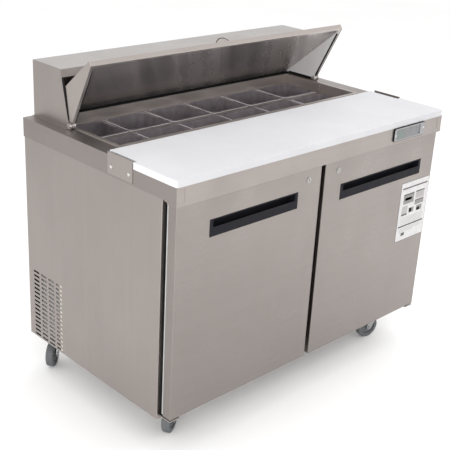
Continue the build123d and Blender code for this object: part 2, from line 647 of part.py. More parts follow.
def door_handle(name):
    """Moulded pull set into the door: a rim, a finger pocket and a sloping front lip."""
    middle, length = HANDLE[name]
    half, tall = length / 2, HANDLE_H / 2
    z = HANDLE_Z[name]
    body = block(middle - half, middle + half, DOOR_Y - 1.2, DOOR_Y, z - tall, z + tall)
    body = soften(body, 0.9, lambda e, m: near(m.Y, DOOR_Y - 1.2))
    body += block(middle - half + 3, middle + half - 3, DOOR_Y, DOOR_Y + HANDLE_DEEP + 2, z - 24, z + 24)
    pocket = [
        (DOOR_Y - 2, z + tall - 3.5),
        (DOOR_Y + HANDLE_DEEP, z + 22),
        (DOOR_Y + HANDLE_DEEP, z - 22),
        (DOOR_Y + 3, z - 22),
        (DOOR_Y + 6, z - 2),
        (DOOR_Y - 2, z + 2),
    ]
    return body - slab_yz(pocket, middle - half + 12, middle + half - 12)


def door_lock(name):
    """Key lock cylinder with its rose and a key slot."""
    x, z = LOCK[name]
    lock = rod("y", (x, DOOR_Y + 12, z), 8.0, 24)
    lock += rod("y", (x, DOOR_Y - 0.75, z), 9.5, 1.5)
    return lock - block(x - 0.9, x + 0.9, DOOR_Y - 4, DOOR_Y + 6, z - 5, z + 5)


def hinge_brackets():
    """Steel plates above and below each door's outer edge, each with its pin."""
    x0, x1, tongue = HINGE_X - 26, HINGE_X + 12, SIDE_X - 14.4
    front, back = HINGE_Y - 12, FRONT_Y - 0.1
    thick, gap = 4.0, 3.0
    low0, low1 = DOOR_Z0 - gap - thick, DOOR_Z0 - gap
    low = block(x0, x1, front, back, low0, low1)
    low += block(x0, tongue, back, FRAME_Y0, low0, low1)
    low += block(x0, tongue, back - 2, FRAME_Y0, FLOOR_Z + 1, low0)
    low += cylinder_z(HINGE_X, HINGE_Y, 9, low1, DOOR_Z0 - 0.5)
    low += cylinder_z(HINGE_X, HINGE_Y, PIN_R, low1, DOOR_Z0 + 16)
    high0, high1 = DOOR_Z1 + gap, DOOR_Z1 + gap + thick
    high = block(x0, x1, front, back, high0, high1)
    high += block(x0, tongue, back, FRAME_Y0, high0, high1)
    high += cylinder_z(HINGE_X, HINGE_Y, 9, DOOR_Z1 + 0.5, high0)
    high += cylinder_z(HINGE_X, HINGE_Y, PIN_R, DOOR_Z1 - 16, high0)
    return group(both_sides([low, high]))


# ---- casters ----
def caster_spots():
    spots = {}
    for row, y in (("front", CASTER_Y0), ("rear", CASTER_Y1)):
        for name, side in SIDES:
            spots[f"{row}_{name}"] = (side * CASTER_X, y)
    return spots


def cylinder_z(x, y, radius, z0, z1):
    return Location((x, y, (z0 + z1) / 2)) * Cylinder(radius, z1 - z0)


def caster_mounts():
    """Threaded stem, upper race and king pin of each caster."""
    mounts = []
    for x, y in caster_spots().values():
        mount = cylinder_z(x, y, 20, RACE_Z, FLOOR_Z)
        mount += cylinder_z(x, y, PIN_R, KING_Z, FLOOR_Z + FLOOR_T)
        mount += cylinder_z(x, y, 8, KING_Z, KING_Z + 3)
        mounts.append(mount)
    return group(mounts)


def caster_fork(x, y, heading):
    """Crown with its bore, two legs, and the axle of the wheel, trailing along the heading."""
    leg_t, leg_in = 3.0, WHEEL_W / 2 + 2.0
    crown = Location((0, 0, 114.7)) * Cylinder(22, 14)
    crown -= Location((0, 0, 108)) * Cylinder(8.5, 8)
    leg = [(-18, 118), (18, 118), (TRAIL + 11, WHEEL_R + 4), (TRAIL + 7, WHEEL_R - 9), (TRAIL - 7, WHEEL_R - 9)]
    outline = make_face(Polyline(*[Vector(u, leg_in, z) for u, z in leg], close=True))
    side = extrude(outline, amount=leg_t, dir=(0, 1, 0))
    fork = crown + side + mirror(side, about=Plane.XZ)
    bridge = block(-18, 18, -leg_in - leg_t, leg_in + leg_t, 110, 118) - Location((0, 0, 110)) * Cylinder(8.5, 12)
    fork += bridge
    fork -= Location((0, 0, 114)) * Cylinder(PIN_R + RUN, 40)
    fork += Location((TRAIL, 0, WHEEL_R), (90, 0, 0)) * Cylinder(4, 2 * (leg_in + leg_t) + 6)
    return Location((x, y, 0), (0, 0, heading)) * fork


def caster_wheel(x, y, heading):
    """Rubber tyre on a hub, with rounded shoulders and a plain bore."""
    wheel = Cylinder(WHEEL_R, WHEEL_W)
    wheel = fillet(wheel.edges().filter_by(GeomType.CIRCLE), 6)
    for end in (-1, 1):
        wheel -= Location((0, 0, end * WHEEL_W / 2)) * (Cylinder(29, 8) - Cylinder(10, 8))
    wheel -= Cylinder(4 + RUN, WHEEL_W + 2)
    axle = Location((TRAIL, 0, WHEEL_R), (90, 0, 0))
    return Location((x, y, 0), (0, 0, heading)) * axle * wheel


# ---- build ----
save(worktop(), "worktop")
save(opening_frame(), "opening_frame")
save(divider_bars(), "divider_bars")
row_ys = {"front": (OPEN_Y0 + 1.5 + PAN_D / 2), "rear": (OPEN_Y1 - 1.5 - PAN_D / 2)}
for row, row_y in row_ys.items():
    for column in range(COLUMNS):
        save(pan(column_x(column), row_y), f"pan_{row}_{column + 1}")
save(cutting_board(), "cutting_board")
save(bracket_plates(), "board_brackets")
save(screws(), "screws")
save(hood_shell(), "hood_shell")
save(hood_seals(), "hood_seals")
save(pivot_bolts(), "lid_pivot_bolts")
save(lid_shell(), "lid_shell")
save(lid_liner(), "lid_liner")
save(lid_gaskets(), "lid_gaskets")
for name, side in SIDES:
    save(side_panel(side), f"{name}_side_panel")
save(back_panel(), "back_panel")
save(cord_gland(), "cord_gland")
save(base_pan(), "base_pan")
save(inner_liner(), "inner_liner")
save(insulation(), "insulation")
save(face_frame(), "face_frame")
save(shelves(), "shelves")
save(shelf_clips(), "shelf_clips")
save(badge(), "badge")
save(condenser_coil(), "condenser_coil")
save(condenser_fan(), "condenser_fan")
save(compressor(), "compressor")
save(evaporator_coil(), "evaporator_coil")
save(evaporator_fan(), "evaporator_fan")
for name, side in SIDES:
    save(door_skin(name, side), f"{name}_door_skin")
    save(door_core(name, side), f"{name}_door_core")
    save(door_gasket(side), f"{name}_door_gasket")
    save(door_handle(name), f"{name}_door_handle")
    save(door_lock(name), f"{name}_door_lock")
save(hinge_brackets(), "hinge_brackets")
save(caster_mounts(), "caster_mounts")
for spot, (x, y) in caster_spots().items():
    save(caster_fork(x, y, HEADINGS[spot]), f"caster_fork_{spot}")
    save(caster_wheel(x, y, HEADINGS[spot]), f"caster_wheel_{spot}")
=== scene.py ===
import json
import math

import bmesh
import bpy
from mathutils import Matrix, Vector


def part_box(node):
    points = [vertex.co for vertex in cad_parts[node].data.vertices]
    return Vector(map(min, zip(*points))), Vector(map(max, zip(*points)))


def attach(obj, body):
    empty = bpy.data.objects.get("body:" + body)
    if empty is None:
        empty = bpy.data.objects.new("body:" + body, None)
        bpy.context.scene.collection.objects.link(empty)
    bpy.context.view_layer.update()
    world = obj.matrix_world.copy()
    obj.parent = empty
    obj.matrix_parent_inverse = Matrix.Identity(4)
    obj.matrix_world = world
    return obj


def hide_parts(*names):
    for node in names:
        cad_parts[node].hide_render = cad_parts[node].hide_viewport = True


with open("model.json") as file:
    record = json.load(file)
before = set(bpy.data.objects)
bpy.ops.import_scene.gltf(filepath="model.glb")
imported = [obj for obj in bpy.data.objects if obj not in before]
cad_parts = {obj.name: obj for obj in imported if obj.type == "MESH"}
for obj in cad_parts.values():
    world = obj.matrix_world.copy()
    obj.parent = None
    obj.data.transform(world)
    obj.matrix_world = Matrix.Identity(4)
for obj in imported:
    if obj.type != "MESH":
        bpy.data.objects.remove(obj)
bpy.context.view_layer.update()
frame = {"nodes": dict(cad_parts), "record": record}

NODES = frame["nodes"]
RECORD = frame["record"]


# ---------------------------------------------------------------- materials
def tree(name):
    """A new material with its node tree, Principled shader and object coordinates."""
    mat = bpy.data.materials.new(name)
    mat.use_nodes = True
    nt = mat.node_tree
    bsdf = nt.nodes["Principled BSDF"]
    coord = nt.nodes.new("ShaderNodeTexCoord")
    return mat, nt, bsdf, coord.outputs["Object"]


def noise(nt, vector, scale, stretch=(1, 1, 1), detail=4.0, rough=0.55):
    """A noise value from 0 to 1, stretched along the axes with a small stretch factor."""
    mapping = nt.nodes.new("ShaderNodeMapping")
    mapping.inputs["Scale"].default_value = [scale * s for s in stretch]
    nt.links.new(vector, mapping.inputs["Vector"])
    tex = nt.nodes.new("ShaderNodeTexNoise")
    tex.inputs["Scale"].default_value = 1.0
    tex.inputs["Detail"].default_value = detail
    tex.inputs["Roughness"].default_value = rough
    nt.links.new(mapping.outputs["Vector"], tex.inputs["Vector"])
    return tex.outputs["Fac"]


def remap(nt, value, low, high, new_low, new_high):
    """Stretch a value's range from low..high to new_low..new_high, clamped at both ends."""
    node = nt.nodes.new("ShaderNodeMapRange")
    node.inputs["From Min"].default_value = low
    node.inputs["From Max"].default_value = high
    node.inputs["To Min"].default_value = new_low
    node.inputs["To Max"].default_value = new_high
    nt.links.new(value, node.inputs["Value"])
    return node.outputs["Result"]


def math_node(nt, operation, a, b):
    """The result of one maths operation on two sockets or numbers."""
    node = nt.nodes.new("ShaderNodeMath")
    node.operation = operation
    for socket, value in zip(node.inputs, (a, b)):
        if isinstance(value, (int, float)):
            socket.default_value = value
        else:
            nt.links.new(value, socket)
    return node.outputs[0]


def weighted_sum(nt, first, *others):
    """Sum of (value, weight) pairs."""
    total = math_node(nt, "MULTIPLY", *first)
    for value, weight in others:
        total = math_node(nt, "ADD", total, math_node(nt, "MULTIPLY", value, weight))
    return total


def blend_colour(nt, factor, a, b):
    """Colour a where the factor is 0 and colour b where it is 1."""
    node = nt.nodes.new("ShaderNodeMix")
    node.data_type = "RGBA"
    sockets = {s.identifier: s for s in node.inputs}
    nt.links.new(factor, sockets["Factor_Float"])
    for key, value in (("A_Color", a), ("B_Color", b)):
        if isinstance(value, tuple):
            sockets[key].default_value = (*value, 1.0)
        else:
            nt.links.new(value, sockets[key])
    return next(s for s in node.outputs if s.identifier == "Result_Color")


def bump(nt, bsdf, height, strength, distance):
    """Fine relief on the surface; the distance is the relief's height in metres."""
    node = nt.nodes.new("ShaderNodeBump")
    node.inputs["Strength"].default_value = strength
    node.inputs["Distance"].default_value = distance
    nt.links.new(height, node.inputs["Height"])
    nt.links.new(node.outputs["Normal"], bsdf.inputs["Normal"])


def shade(colour, factor):
    """The colour made lighter or darker, and never brighter than white."""
    return tuple(min(1.0, c * factor) for c in colour)


def steel(name, colour, rough, along="x", spread=0.07, grain=0.12, metal=1.0):
    """Brushed stainless sheet: fine lines along one axis, faint smears, and cloudy tone."""
    mat, nt, bsdf, at = tree(name)
    fine = {"x": (0.012, 1, 1), "y": (1, 0.012, 1), "z": (1, 1, 0.012)}[along]
    lines = noise(nt, at, 900, fine, detail=3.0)
    bands = noise(nt, at, 60, fine, detail=2.0)
    clouds = noise(nt, at, 2.4, (1, 1, 1), detail=3.0)
    smears = noise(nt, at, 9.0, (1, 1, 0.45), detail=5.0, rough=0.62)
    tone = weighted_sum(nt, (lines, 0.35), (bands, 0.2), (clouds, 0.45))
    factor = remap(nt, tone, 0.3, 0.7, 0.0, 1.0)
    colour_out = blend_colour(nt, factor, shade(colour, 1 - spread), shade(colour, 1 + spread))
    nt.links.new(colour_out, bsdf.inputs["Base Color"])
    bsdf.inputs["Metallic"].default_value = metal
    low = remap(nt, lines, 0.25, 0.75, rough - grain / 2, rough + grain / 2)
    wiped = remap(nt, smears, 0.35, 0.7, -0.05, 0.07)
    nt.links.new(math_node(nt, "ADD", low, wiped), bsdf.inputs["Roughness"])
    bump(nt, bsdf, lines, 0.12, 0.00012)
    return mat


def reflection_streaked_sheet(name, colour, rough, metal, reflection_streak_way):
    """Bright rolled sheet with long soft streaks of painted reflection along one direction, as
    inside the lid.
    """
    mat, nt, bsdf, at = tree(name)
    across = nt.nodes.new("ShaderNodeVectorMath")
    across.operation = "CROSS_PRODUCT"
    across.inputs[1].default_value = Vector(reflection_streak_way).normalized()
    nt.links.new(at, across.inputs[0])
    streaks = noise(nt, across.outputs[0], 24, detail=3.0, rough=0.6)
    broad = noise(nt, across.outputs[0], 6, detail=2.0)
    smears = noise(nt, at, 7, detail=4.0)
    tone = weighted_sum(nt, (streaks, 0.4), (broad, 0.45), (smears, 0.15))
    factor = remap(nt, tone, 0.38, 0.62, 0.0, 1.0)
    colour_out = blend_colour(nt, factor, shade(colour, 0.72), shade(colour, 1.3))
    nt.links.new(colour_out, bsdf.inputs["Base Color"])
    nt.links.new(remap(nt, tone, 0.35, 0.65, rough - 0.05, rough + 0.08), bsdf.inputs["Roughness"])
    bsdf.inputs["Metallic"].default_value = metal
    bump(nt, bsdf, broad, 0.1, 0.0012)
    return mat


def moulded(name, colour, rough, spec=0.5, pebble=1400, depth=0.00012, metal=0.0):
    """Moulded plastic, rubber or cast metal with a pebbled skin and slight scuffs."""
    mat, nt, bsdf, at = tree(name)
    fine = noise(nt, at, pebble, detail=2.0)
    scuffs = noise(nt, at, 35, (1, 1, 0.4), detail=5.0, rough=0.65)
    factor = remap(nt, scuffs, 0.4, 0.72, 0.0, 1.0)
    nt.links.new(blend_colour(nt, factor, colour, shade(colour, 1.35)), bsdf.inputs["Base Color"])
    nt.links.new(remap(nt, scuffs, 0.3, 0.7, rough - 0.06, rough + 0.1), bsdf.inputs["Roughness"])
    bsdf.inputs["Specular IOR Level"].default_value = spec
    bsdf.inputs["Metallic"].default_value = metal
    bump(nt, bsdf, fine, 0.3, depth)
    return mat


def board_plastic(name, tone=1.0):
    """White polyethylene: cloudy tone, and fine knife marks that cross each other."""
    mat, nt, bsdf, at = tree(name)
    clouds = noise(nt, at, 5, detail=3.0)
    marks_a = noise(nt, at, 160, (0.05, 1, 1), detail=6.0, rough=0.7)
    marks_b = noise(nt, at, 130, (1, 0.07, 1), detail=6.0, rough=0.7)
    marks = math_node(nt, "MAXIMUM", marks_a, marks_b)
    factor = remap(nt, clouds, 0.35, 0.65, 0.0, 1.0)
    grey_cloud, white_cloud, groove = (0.615, 0.615, 0.64), (0.65, 0.65, 0.665), (0.54, 0.54, 0.55)
    base = blend_colour(nt, factor, shade(grey_cloud, tone), shade(white_cloud, tone))
    cut = remap(nt, marks, 0.62, 0.8, 0.0, 0.35)
    nt.links.new(blend_colour(nt, cut, base, shade(groove, tone)), bsdf.inputs["Base Color"])
    nt.links.new(remap(nt, marks, 0.4, 0.8, 0.5, 0.62), bsdf.inputs["Roughness"])
    bsdf.inputs["Subsurface Weight"].default_value = 0.08
    bsdf.inputs["Subsurface Radius"].default_value = (0.004, 0.004, 0.004)
    bump(nt, bsdf, marks, 0.18, 0.00025)
    return mat


def clear_plastic(name, dull=(0.42, 0.375, 0.40), bright=(0.55, 0.50, 0.53), clear=0.62):
    """Clear polycarbonate with handling haze and fine scratches."""
    mat, nt, bsdf, at = tree(name)
    haze = noise(nt, at, 40, (1, 1, 0.5), detail=5.0, rough=0.65)
    scratches = noise(nt, at, 300, (0.08, 1, 1), detail=4.0)
    factor = remap(nt, haze, 0.4, 0.7, 0.0, 1.0)
    nt.links.new(blend_colour(nt, factor, dull, bright), bsdf.inputs["Base Color"])
    nt.links.new(remap(nt, haze, 0.4, 0.75, 0.04, 0.16), bsdf.inputs["Roughness"])
    bsdf.inputs["Transmission Weight"].default_value = clear
    bsdf.inputs["IOR"].default_value = 1.5
    bump(nt, bsdf, scratches, 0.12, 0.00015)
    return mat


def plain(name, colour, rough, metal=0.0, scale=60):
    """Paint, print, coating or small metal part with a faint mottle."""
    mat, nt, bsdf, at = tree(name)
    mottle = noise(nt, at, scale, detail=4.0)
    factor = remap(nt, mottle, 0.35, 0.65, 0.0, 1.0)
    colour_out = blend_colour(nt, factor, shade(colour, 0.93), shade(colour, 1.06))
    nt.links.new(colour_out, bsdf.inputs["Base Color"])
    nt.links.new(remap(nt, mottle, 0.3, 0.7, rough - 0.05, rough + 0.06), bsdf.inputs["Roughness"])
    bsdf.inputs["Metallic"].default_value = metal
    return mat


def foam(name):
    """Rigid foam with small cells."""
    mat, nt, bsdf, at = tree(name)
    cells = nt.nodes.new("ShaderNodeTexVoronoi")
    cells.inputs["Scale"].default_value = 260
    nt.links.new(at, cells.inputs["Vector"])
    factor = remap(nt, cells.outputs["Distance"], 0.1, 0.8, 0.0, 1.0)
    colour_out = blend_colour(nt, factor, (0.50, 0.47, 0.38), (0.64, 0.61, 0.52))
    nt.links.new(colour_out, bsdf.inputs["Base Color"])
    bsdf.inputs["Roughness"].default_value = 0.9
    bump(nt, bsdf, cells.outputs["Distance"], 0.6, 0.002)
    return mat


WARM = (0.48, 0.432, 0.406)               # the warm grey that every outer sheet is a shade of
REFLECTION_STREAK_WAY = (-0.61, -0.61, 0.5)          # painted reflection streaks inside the lid, upright in the camera's view
SLOT_MATERIALS = {
    "worktop_steel": steel("worktop_steel", shade(WARM, 0.65), 0.38, "x", metal=0.92),
    "trim_steel": steel("trim_steel", shade(WARM, 0.94), 0.42, "x", metal=0.8),
    "bracket_steel": steel("bracket_steel", shade(WARM, 0.74), 0.36, "z"),
    "screw_steel": plain("screw_steel", (0.72, 0.71, 0.70), 0.22, 1.0, 300),
    "hood_steel": steel("hood_steel", (0.425, 0.405, 0.395), 0.33, "x"),
    "lid_steel": steel("lid_steel", shade(WARM, 0.95), 0.34, "x"),
    "lid_inner_steel": reflection_streaked_sheet("lid_inner_steel", (0.46, 0.425, 0.412), 0.24, 0.7, REFLECTION_STREAK_WAY),
    "side_steel": steel("side_steel", shade(WARM, 0.68), 0.36, "z"),
    "door_steel": steel("door_steel", shade(WARM, 0.555), 0.34, "x"),
    "door_filling": plain("door_filling", (0.40, 0.41, 0.41), 0.5),
    "insulating_foam": foam("insulating_foam"),
    "inner_aluminium": steel("inner_aluminium", (0.55, 0.55, 0.55), 0.42, "z"),
    "black_rubber": moulded("black_rubber", (0.006, 0.006, 0.0065), 0.7, 0.15),
    "black_plastic": moulded("black_plastic", (0.0065, 0.0065, 0.0095), 0.58, 0.16),
    "clear_plastic": clear_plastic("clear_plastic"),
    "board_plastic": board_plastic("board_plastic"),
    "badge_metal": steel("badge_metal", (0.30, 0.30, 0.31), 0.28, "x"),
    "lock_metal": plain("lock_metal", (0.33, 0.32, 0.31), 0.3, 1.0, 300),
    "caster_steel": plain("caster_steel", (0.36, 0.36, 0.36), 0.34, 1.0, 120),
    "wheel_rubber": moulded("wheel_rubber", (0.095, 0.10, 0.104), 0.62, 0.4, 500, 0.0003),
    "shelf_coating": plain("shelf_coating", (0.80, 0.80, 0.78), 0.3),
    "coil_aluminium": plain("coil_aluminium", (0.55, 0.55, 0.55), 0.4, 1.0),
    "fan_plastic": moulded("fan_plastic", (0.02, 0.02, 0.02), 0.5),
    "compressor_paint": moulded("compressor_paint", (0.012, 0.012, 0.012), 0.35),
}

for part in RECORD["subparts"]:
    node = NODES[part["node"]]
    node.data.materials.clear()
    node.data.materials.append(SLOT_MATERIALS[part["material_slot"]])
    for polygon in node.data.polygons:
        polygon.material_index = 0


def give_faces_material(mesh, material, chosen):
    """Give the chosen faces of a mesh one more material."""
    mesh.materials.append(material)
    for polygon in mesh.polygons:
        if chosen(polygon):
            polygon.material_index = len(mesh.materials) - 1


def looks_sideways(polygon):
    return abs(polygon.normal.x) > 0.7


def looks_forward(polygon):
    return polygon.normal.y < -0.5


# A second tone for the left and right faces of some sheets, set by comparison with the photo.
# It stands for the photo's own light on those faces, not for another metal.
# Painted light and shade: the sideways faces get a lighter or darker copy of the same steel.
APRON_SIDE_SHADE = steel("apron_side_shaded_steel", shade(WARM, 0.58), 0.38, "y")
SIDE_PAINTED_LIGHT = {
    "lid_liner": steel("lid_wall_lit_steel", (0.72, 0.70, 0.705), 0.5, "z", metal=0.15),
    "hood_shell": steel("hood_side_shaded_steel", shade(WARM, 0.70), 0.36, "z"),
    "lid_shell": steel("lid_side_shaded_steel", shade(WARM, 0.84), 0.36, "z"),
    "worktop": APRON_SIDE_SHADE,
}
for name, material in SIDE_PAINTED_LIGHT.items():
    give_faces_material(NODES[name].data, material, looks_sideways)

# Painted shade: the board's front edge gets a darker copy of its plastic than its ends, set by
# comparison with the photo.
give_faces_material(NODES["cutting_board"].data, board_plastic("board_edge_shaded_plastic", 0.80), looks_forward)

# Painted glints: a pale opaque tone on the rounded edges of a pan's rim, in place of bright
# glints.
RIM_FILLET = 0.0016
RIM_TILT = (0.12, 0.97)                   # how far the rounded faces look up
PAN_RIM_GLINT = clear_plastic("pan_rim_painted_glint", (0.86, 0.82, 0.84), (0.95, 0.93, 0.95), 0.0)


def paint_rim_glints(mesh):
    foot = max(vertex.co.z for vertex in mesh.vertices) - RIM_FILLET
    low, high = RIM_TILT
    give_faces_material(mesh, PAN_RIM_GLINT, lambda face: low < face.normal.z < high and face.center.z > foot)


for name in NODES:
    if name.startswith(("pan_front_", "pan_rear_")):
        paint_rim_glints(NODES[name].data)


# ---------------------------------------------------------------- mesh helpers
def add_object(name, bm, material, body, smooth=False):
    """A piece of the visual model that rides on a body."""
    mesh = bpy.data.meshes.new(name)
    bm.normal_update()
    bm.to_mesh(mesh)
    bm.free()
    mesh.materials.append(material)
    for polygon in mesh.polygons:
        polygon.use_smooth = smooth
    obj = bpy.data.objects.new(name, mesh)
    bpy.context.scene.collection.objects.link(obj)
    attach(obj, body)
    return obj


def close_prism(bm, front, back):
    """Faces of a prism between two matching outlines."""
    bm.faces.new(front)
    bm.faces.new(list(reversed(back)))
    n = len(front)
    for i in range(n):
        bm.faces.new((front[i], back[i], back[(i + 1) % n], front[(i + 1) % n]))
    bmesh.ops.recalc_face_normals(bm, faces=bm.faces)


def join_rings(bm, rings):
    """Bands of faces between rings of equal length."""
    for low, high in zip(rings, rings[1:]):
        n = len(low)
        for i in range(n):
            j = (i + 1) % n
            bm.faces.new((low[i], low[j], high[j], high[i]))


def plate_on_front(bm, x0, x1, z0, z1, y, thickness, radius=0.0):
    """A thin closed plate whose back lies at y and whose front faces -Y."""
    steps = 5 if radius else 0
    outline = []
    corners = ((x1, z1, 0), (x0, z1, 90), (x0, z0, 180), (x1, z0, 270))
    for cx, cz, start in corners:
        if not radius:
            outline.append((cx, cz))
            continue
        mx = cx - radius * (1 if cx == x1 else -1)
        mz = cz - radius * (1 if cz == z1 else -1)
        for k in range(steps + 1):
            a = math.radians(start + 90 * k / steps)
            outline.append((mx + radius * math.cos(a), mz + radius * math.sin(a)))
    front = [bm.verts.new((x, y - thickness, z)) for x, z in outline]
    back = [bm.verts.new((x, y, z)) for x, z in outline]
    close_prism(bm, front, back)


def disc_on_front(bm, x, z, y, radius, height, rings=4, around=20):
    """A low dome whose foot lies at y and whose crown faces -Y."""
    loops = []
    for k in range(rings):
        a = math.pi / 2 * k / rings
        r, rise = radius * math.cos(a), height * math.sin(a)
        loop = []
        for i in range(around):
            t = math.tau * i / around
            loop.append(bm.verts.new((x + r * math.cos(t), y - rise, z + r * math.sin(t))))
        loops.append(loop)
    crown = bm.verts.new((x, y - height, z))
    join_rings(bm, loops)
    for i in range(around):
        bm.faces.new((loops[-1][i], loops[-1][(i + 1) % around], crown))
    bm.faces.new(list(reversed(loops[0])))
    bmesh.ops.recalc_face_normals(bm, faces=bm.faces)


# ---------------------------------------------------------------- hem under the front rail
HEM_DROP, HEM_LAP = 0.0078, 0.003         # below and above the rail's lower edge
HEM_T, HEM_RETURN = 0.0014, 0.040         # thickness, and length along the ends
HEM_PROUD, HEM_CUT = 0.00015, 0.0008      # in front of the rail, and the cut corners


def rail_hem():
    """Folded hem along the rail's lower edge, returned along both ends above the doors."""
    low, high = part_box("worktop")
    y0, y1 = low[1] - HEM_PROUD, low[1] - HEM_PROUD + HEM_RETURN
    x0, x1 = low[0] - HEM_PROUD, high[0] + HEM_PROUD
    z0, z1 = low[2] - HEM_DROP, low[2] + HEM_LAP
    t, cut = HEM_T, HEM_CUT
    outline = [
        (x0, y1), (x0, y0 + cut), (x0 + cut, y0), (x1 - cut, y0), (x1, y0 + cut), (x1, y1),
        (x1 - t, y1), (x1 - t, y0 + t), (x0 + t, y0 + t), (x0 + t, y1),
    ]
    bm = bmesh.new()
    lower = [bm.verts.new((x, y, z0)) for x, y in outline]
    upper = [bm.verts.new((x, y, z1)) for x, y in outline]
    close_prism(bm, lower, upper)
    hem = add_object("rail_hem", bm, SLOT_MATERIALS["worktop_steel"], "cabinet")
    # Painted shade on the hem's sideways faces, as on the apron's.
    give_faces_material(hem.data, APRON_SIDE_SHADE, looks_sideways)


rail_hem()


# ---------------------------------------------------------------- card on the right door
CARD_W, CARD_H, CARD_T = 0.162, 0.220, 0.0004
CARD_EDGE, CARD_DROP = 0.0044, 0.162      # from the door's outer edge and from its top
BORDER, BORDER_T = 0.0018, 0.0002
INK_T, LINE_H = 0.00012, 0.008            # ink thickness in metres; a line's height as a share
door_low, door_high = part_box("right_door_skin")
card_x0, card_z1 = door_high[0] - CARD_EDGE - CARD_W, door_high[2] - CARD_DROP
card_y = door_low[1]

# Each print block: left, right, top and bottom, as shares of the card's width and height.
DARK_BLOCKS = (
    (0.05, 0.95, 0.084, 0.108),
    (0.12, 0.50, 0.200, 0.222),
    (0.18, 0.42, 0.268, 0.312),
    (0.56, 0.88, 0.198, 0.218),
    (0.56, 0.88, 0.352, 0.370),
    (0.10, 0.30, 0.540, 0.565),
    (0.38, 0.46, 0.470, 0.540),
    (0.66, 0.76, 0.500, 0.550),
    (0.04, 0.95, 0.742, 0.768),
    (0.18, 0.30, 0.872, 0.925),
)
GREY_BLOCKS = (
    (0.12, 0.50, 0.222, 0.372),
    (0.56, 0.88, 0.370, 0.440),
    (0.36, 0.54, 0.462, 0.545),
    (0.64, 0.84, 0.462, 0.555),
)
PALE_BLOCKS = ((0.56, 0.88, 0.212, 0.335), (0.10, 0.30, 0.400, 0.545))
LINE_ROWS = (0.605, 0.632, 0.659, 0.686, 0.712, 0.795, 0.822, 0.849)


def print_block(bm, left, right, top, bottom):
    plate_on_front(
        bm,
        card_x0 + left * CARD_W,
        card_x0 + right * CARD_W,
        card_z1 - bottom * CARD_H,
        card_z1 - top * CARD_H,
        card_y - CARD_T,
        INK_T,
    )


def door_card():
    """A plain notice with picture blocks and ruled lines, and no lettering."""
    x0, x1, z0, z1 = card_x0, card_x0 + CARD_W, card_z1 - CARD_H, card_z1
    bm = bmesh.new()
    plate_on_front(bm, x0 - BORDER, x1 + BORDER, z0 - BORDER, z1 + BORDER, card_y, BORDER_T)
    border_ink = plain("card_border_ink", (0.10, 0.095, 0.09), 0.5)
    add_object("card_border", bm, border_ink, "right_door")
    bm = bmesh.new()
    plate_on_front(bm, x0, x1, z0, z1, card_y, CARD_T)
    paper = plain("card_paper", (0.53, 0.515, 0.52), 0.42)
    add_object("card_sheet", bm, paper, "right_door")
    inks = (
        ("card_dark_print", DARK_BLOCKS, (0.055, 0.05, 0.05)),
        ("card_grey_print", GREY_BLOCKS, (0.20, 0.19, 0.185)),
        ("card_pale_print", PALE_BLOCKS, (0.34, 0.325, 0.32)),
    )
    for name, blocks, colour in inks:
        bm = bmesh.new()
        for block in blocks:
            print_block(bm, *block)
        add_object(name, bm, plain(name, colour, 0.45), "right_door")
    bm = bmesh.new()
    for row in LINE_ROWS:
        line_end = 0.62 if row == LINE_ROWS[-1] else 0.90
        print_block(bm, 0.08, line_end, row, row + LINE_H)
    line_ink = plain("card_line_ink", (0.33, 0.32, 0.31), 0.45)
    add_object("card_ruled_lines", bm, line_ink, "right_door")


door_card()


# ---------------------------------------------------------------- badge on the rail
BADGE_T, BADGE_FACE_T, BADGE_FIELD_T = 0.0045, 0.0006, 0.0004
BADGE_R, BADGE_FACE_R, BADGE_FIELD_R = 0.008, 0.007, 0.0015
RIVET_R, RIVET_H = 0.0026, 0.0014


def rail_badge():
    """A thick dark body with a silver face, two plain fields, an end bar and two rivets."""
    low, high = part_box("badge")
    back, x0, x1, z0, z1 = high[1], low[0], high[0], low[2], high[2]
    front = back - BADGE_T
    face = front - BADGE_FACE_T
    bm = bmesh.new()
    plate_on_front(bm, x0, x1, z0, z1, back, BADGE_T, BADGE_R)
    body = add_object("badge_body", bm, SLOT_MATERIALS["black_plastic"], "cabinet")
    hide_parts("badge")
    silver = steel("badge_silver", (0.29, 0.285, 0.287), 0.30, "x")
    bm = bmesh.new()
    inset = (x0 + 0.0016, x1 - 0.0008, z0 + 0.0012, z1 - 0.0012)
    plate_on_front(bm, *inset, front, BADGE_FACE_T, BADGE_FACE_R)
    add_object("badge_face", bm, silver, "cabinet")
    # Each field: name, left and right edge from the badge's left end, and colour.
    fields = (
        ("badge_left_field", 0.014, 0.056, (0.165, 0.19, 0.18)),
        ("badge_middle_field", 0.058, 0.136, (0.19, 0.19, 0.195)),
        ("badge_end_bar", 0.138, 0.145, (0.13, 0.13, 0.14)),
    )
    for name, left, right, colour in fields:
        bm = bmesh.new()
        inset = (x0 + left, x0 + right, z0 + 0.006, z1 - 0.006)
        plate_on_front(bm, *inset, face, BADGE_FIELD_T, BADGE_FIELD_R)
        add_object(name, bm, plain(name, colour, 0.32, 0.6), "cabinet")
    bm = bmesh.new()
    for x, z in ((x0 + 0.0075, z0 + 0.022), (x1 - 0.010, z1 - 0.020)):
        disc_on_front(bm, x, z, face, RIVET_R, RIVET_H)
    rivets = plain("badge_rivet", (0.85, 0.85, 0.85), 0.2, 0.3, 300)
    add_object("badge_rivets", bm, rivets, "cabinet", True)


rail_badge()


